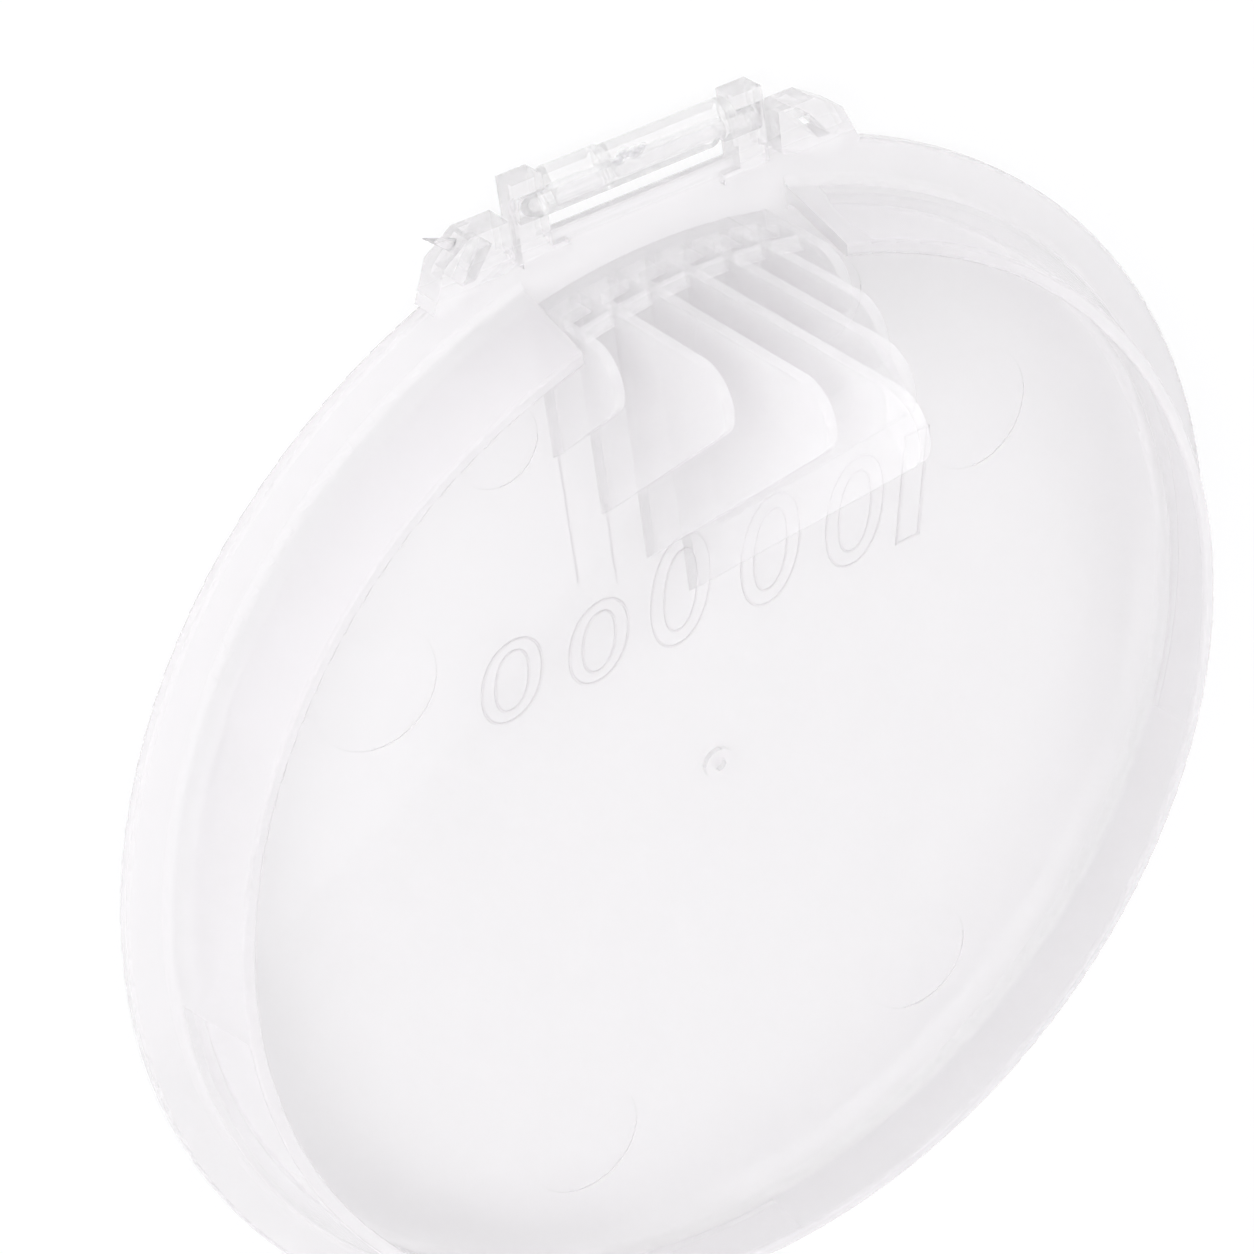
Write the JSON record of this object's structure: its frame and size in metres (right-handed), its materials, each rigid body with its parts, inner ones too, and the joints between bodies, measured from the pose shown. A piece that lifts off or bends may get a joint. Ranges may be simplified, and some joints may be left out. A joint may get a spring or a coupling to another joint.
{
  "type": "clear container lid",
  "caption": "Round clear plastic container lid with plug ring wall, strainer comb of upright fins, hinge ears with pin and knuckles, and side loops.",
  "frame": {"origin": "centre of the disc's flat outer face, which the lid rests on", "axes": "+Z from the outer face towards the inner side with the ring wall and the comb, +Y towards the hinge, +X along the hinge"},
  "size_m": [0.1068, 0.1109, 0.0346],
  "materials": {
    "clear_shell": "clear, moulded gloss",
    "clear_comb": "clear, moulded gloss",
    "clear_pin": "clear, moulded gloss",
    "clear_knuckle": "clear, moulded gloss"
  },
  "bodies": {
    "lid": {"lid_shell": "clear_shell", "strainer_comb": "clear_comb"},
    "hinge": {"hinge_pin": "clear_pin", "knuckle_short": "clear_knuckle", "knuckle_long": "clear_knuckle"}
  },
  "joints": [
    {"name": "hinge_turn", "type": "hinge", "parent": "lid", "child": "hinge", "pos_m": [0, 0.0551, 0.0021], "axis": [1, 0, 0], "range_deg": [0, 110]}
  ]
}
